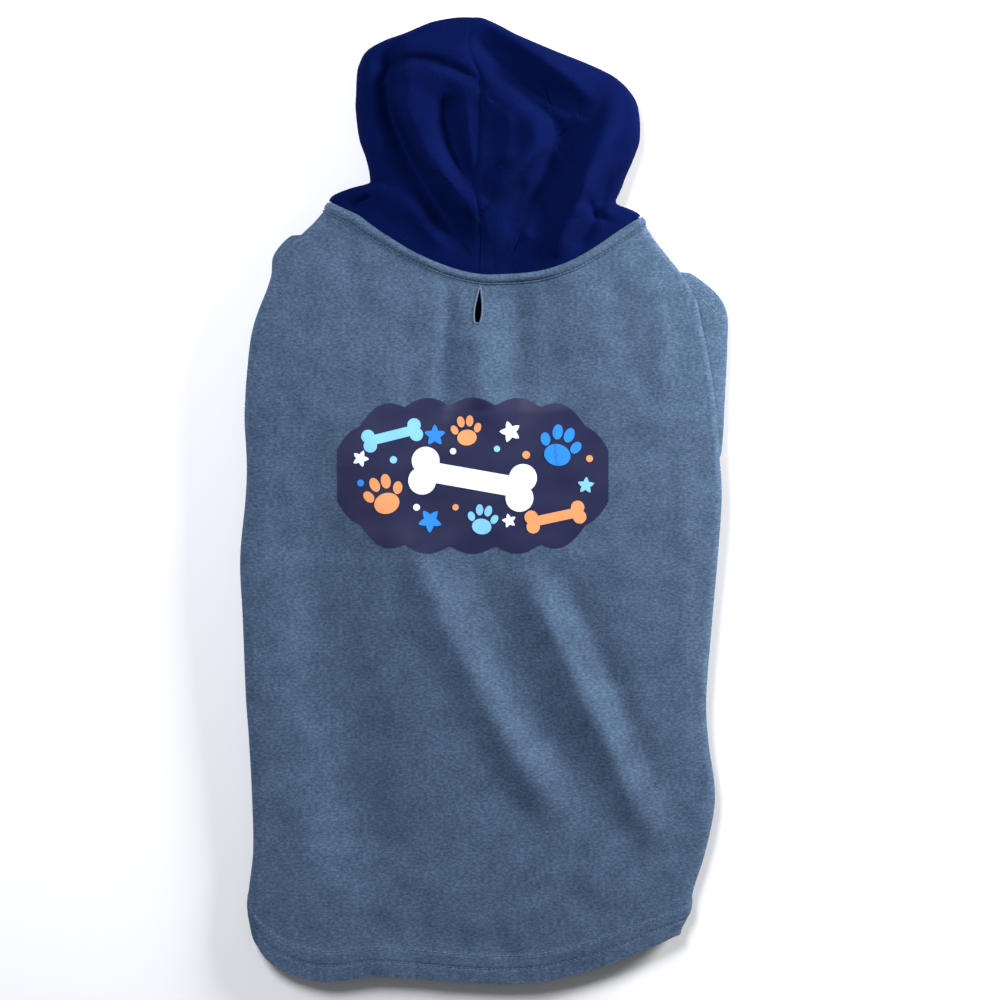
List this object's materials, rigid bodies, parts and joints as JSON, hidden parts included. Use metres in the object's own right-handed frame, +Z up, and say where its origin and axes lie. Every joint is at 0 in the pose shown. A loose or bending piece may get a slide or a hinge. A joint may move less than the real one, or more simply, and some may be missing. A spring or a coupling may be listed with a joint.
{
  "type": "dog hoodie laid flat with its back up",
  "caption": "Fleece dog hoodie lying back up: sleeved body with a leash slot and a printed back, and a soft hood spread above it.",
  "frame": {"origin": "under the middle of the whole garment, on the surface it lies on", "axes": "+X to the right of somebody who looks down on the back with the hood at the top, +Y from the hem to the hood, +Z up from the surface it lies on"},
  "size_m": [0.403, 0.8002, 0.0437],
  "materials": {
    "heather_fleece": "matte",
    "navy_fleece": "matte",
    "lilac_binding": "matte",
    "print_ink": "satin"
  },
  "bodies": {
    "root": {"back_panel": "heather_fleece", "belly_panel": "heather_fleece", "sleeve_left": "heather_fleece", "sleeve_right": "heather_fleece", "hood_left": "navy_fleece", "hood_right": "navy_fleece", "neck_band": "heather_fleece", "leash_slot_binding": "lilac_binding", "back_print": "print_ink"}
  },
  "joints": []
}
